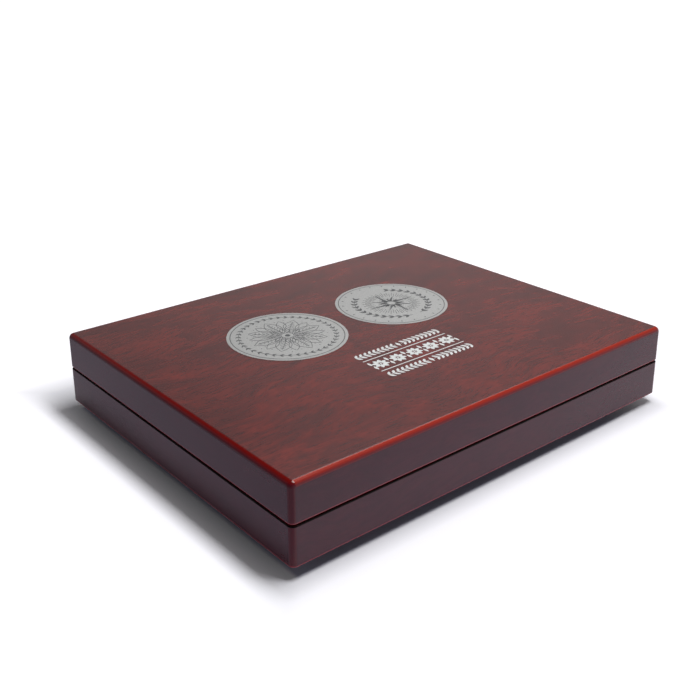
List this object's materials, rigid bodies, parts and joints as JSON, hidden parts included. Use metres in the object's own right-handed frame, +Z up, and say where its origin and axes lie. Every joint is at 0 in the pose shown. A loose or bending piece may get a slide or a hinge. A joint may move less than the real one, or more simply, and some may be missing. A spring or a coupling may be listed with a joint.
{
  "type": "coin case",
  "caption": "Flat hinged wooden case with a glossy mahogany finish, two silver discs printed on the lid, and a velvet tray of square compartments for coins.",
  "frame": {"origin": "on the table, under the middle of the closed case", "axes": "+X along the front, to the right as seen from the front; +Y from the front to the hinges; +Z up"},
  "size_m": [0.305, 0.2475, 0.0556],
  "materials": {
    "lacquered_wood": "red mahogany, clear satin-gloss lacquer",
    "underside": "dark stained board, matt",
    "velvet": "dark red velvet",
    "foam": "black foam",
    "lining_satin": "ivory satin, padded",
    "lining_card": "plain card",
    "hinge_brass": "polished brass",
    "hinge_steel": "brass-plated steel",
    "magnet": "nickel plated",
    "rubber": "matt black rubber",
    "silver_foil": "matt silver foil print",
    "grey_print": "dark grey printed lines on the silver discs",
    "white_print": "white printed ornament on the lid"
  },
  "bodies": {
    "base": {"base_back_rail": "lacquered_wood", "base_bottom_board": "underside", "base_front_rail": "lacquered_wood", "base_left_rail": "lacquered_wood", "base_magnet_left": "magnet", "base_magnet_right": "magnet", "base_right_rail": "lacquered_wood", "bumper_left": "rubber", "bumper_right": "rubber", "foot_back_left": "rubber", "foot_back_right": "rubber", "foot_front_left": "rubber", "foot_front_right": "rubber", "hinge_left_base_leaf": "hinge_brass", "hinge_left_pin": "hinge_steel", "hinge_right_base_leaf": "hinge_brass", "hinge_right_pin": "hinge_steel", "hinge_screws_base": "hinge_steel", "tray_back_rim": "velvet", "tray_board": "velvet", "tray_cushion": "foam", "tray_front_rim": "velvet", "tray_left_rim": "velvet", "tray_long_divider_1": "velvet", "tray_long_divider_2": "velvet", "tray_long_divider_3": "velvet", "tray_long_divider_4": "velvet", "tray_right_rim": "velvet", "tray_short_divider_1": "velvet", "tray_short_divider_2": "velvet", "tray_short_divider_3": "velvet", "tray_short_divider_4": "velvet", "tray_short_divider_5": "velvet"},
    "lid": {"foil_disc_left": "silver_foil", "foil_disc_right": "silver_foil", "hinge_left_lid_leaf": "hinge_brass", "hinge_right_lid_leaf": "hinge_brass", "hinge_screws_lid": "hinge_steel", "lid_back_rail": "lacquered_wood", "lid_front_rail": "lacquered_wood", "lid_left_rail": "lacquered_wood", "lid_magnet_left": "magnet", "lid_magnet_right": "magnet", "lid_right_rail": "lacquered_wood", "lid_top_board": "lacquered_wood", "lining_board": "lining_card", "lining_pad": "lining_satin"}
  },
  "joints": [
    {"name": "lid_hinge", "type": "hinge", "parent": "base", "child": "lid", "pos_m": [0, 0.123, 0.0315], "axis": [-1, 0, 0], "range_deg": [0, 95]}
  ]
}
